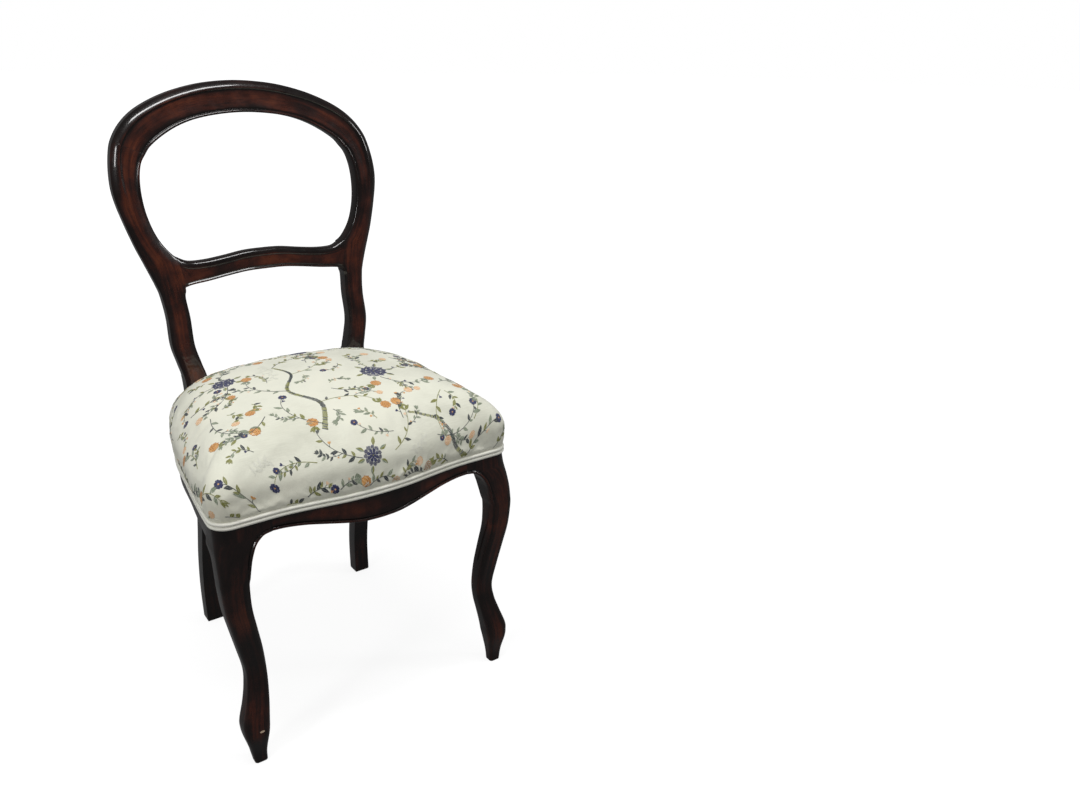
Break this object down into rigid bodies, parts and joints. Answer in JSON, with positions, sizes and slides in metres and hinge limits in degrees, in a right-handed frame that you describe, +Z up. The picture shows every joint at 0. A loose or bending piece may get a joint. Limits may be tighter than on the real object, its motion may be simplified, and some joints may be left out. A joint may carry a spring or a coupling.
{
  "type": "balloon back dining chair",
  "caption": "Dining chair with an open balloon-shaped back, a moulded cross rail, cabriole front legs and a stuffed-over seat with double piping.",
  "frame": {"origin": "on the floor under the middle of the chair's whole width and depth", "axes": "+Z up, the chair faces -Y, +X towards the right of a person who stands in front of the chair and looks at it"},
  "size_m": [0.462, 0.4483, 0.9],
  "materials": {
    "polished_wood": "polished mahogany, dark red-brown",
    "block_wood": "unpolished beech",
    "dowel_wood": "unpolished beech",
    "screw_steel": "dull steel",
    "jute_webbing": "woven jute",
    "tack_steel": "blued steel",
    "hessian_cloth": "open woven jute",
    "stuffing_felt": "fibre with a wadding skin",
    "printed_cloth": "cream cotton with a floral print",
    "piping_cloth": "cream printed cotton over cord"
  },
  "bodies": {
    "root": {"left_back_post": "polished_wood", "right_back_post": "polished_wood", "crest_rail": "polished_wood", "cross_rail": "polished_wood", "left_front_leg": "polished_wood", "right_front_leg": "polished_wood", "front_seat_rail": "polished_wood", "back_seat_rail": "polished_wood", "left_seat_rail": "polished_wood", "right_seat_rail": "polished_wood", "left_front_block": "block_wood", "right_front_block": "block_wood", "left_back_block": "block_wood", "right_back_block": "block_wood", "crest_dowels": "dowel_wood", "cross_rail_dowels": "dowel_wood", "front_rail_dowels": "dowel_wood", "side_rail_dowels": "dowel_wood", "back_rail_dowels": "dowel_wood", "corner_block_screws": "screw_steel", "lengthwise_webbing": "jute_webbing", "crosswise_webbing": "jute_webbing", "webbing_tacks": "tack_steel", "hessian": "hessian_cloth", "seat_stuffing": "stuffing_felt", "seat_cover": "printed_cloth", "front_piping": "piping_cloth", "back_piping": "piping_cloth"}
  },
  "joints": []
}
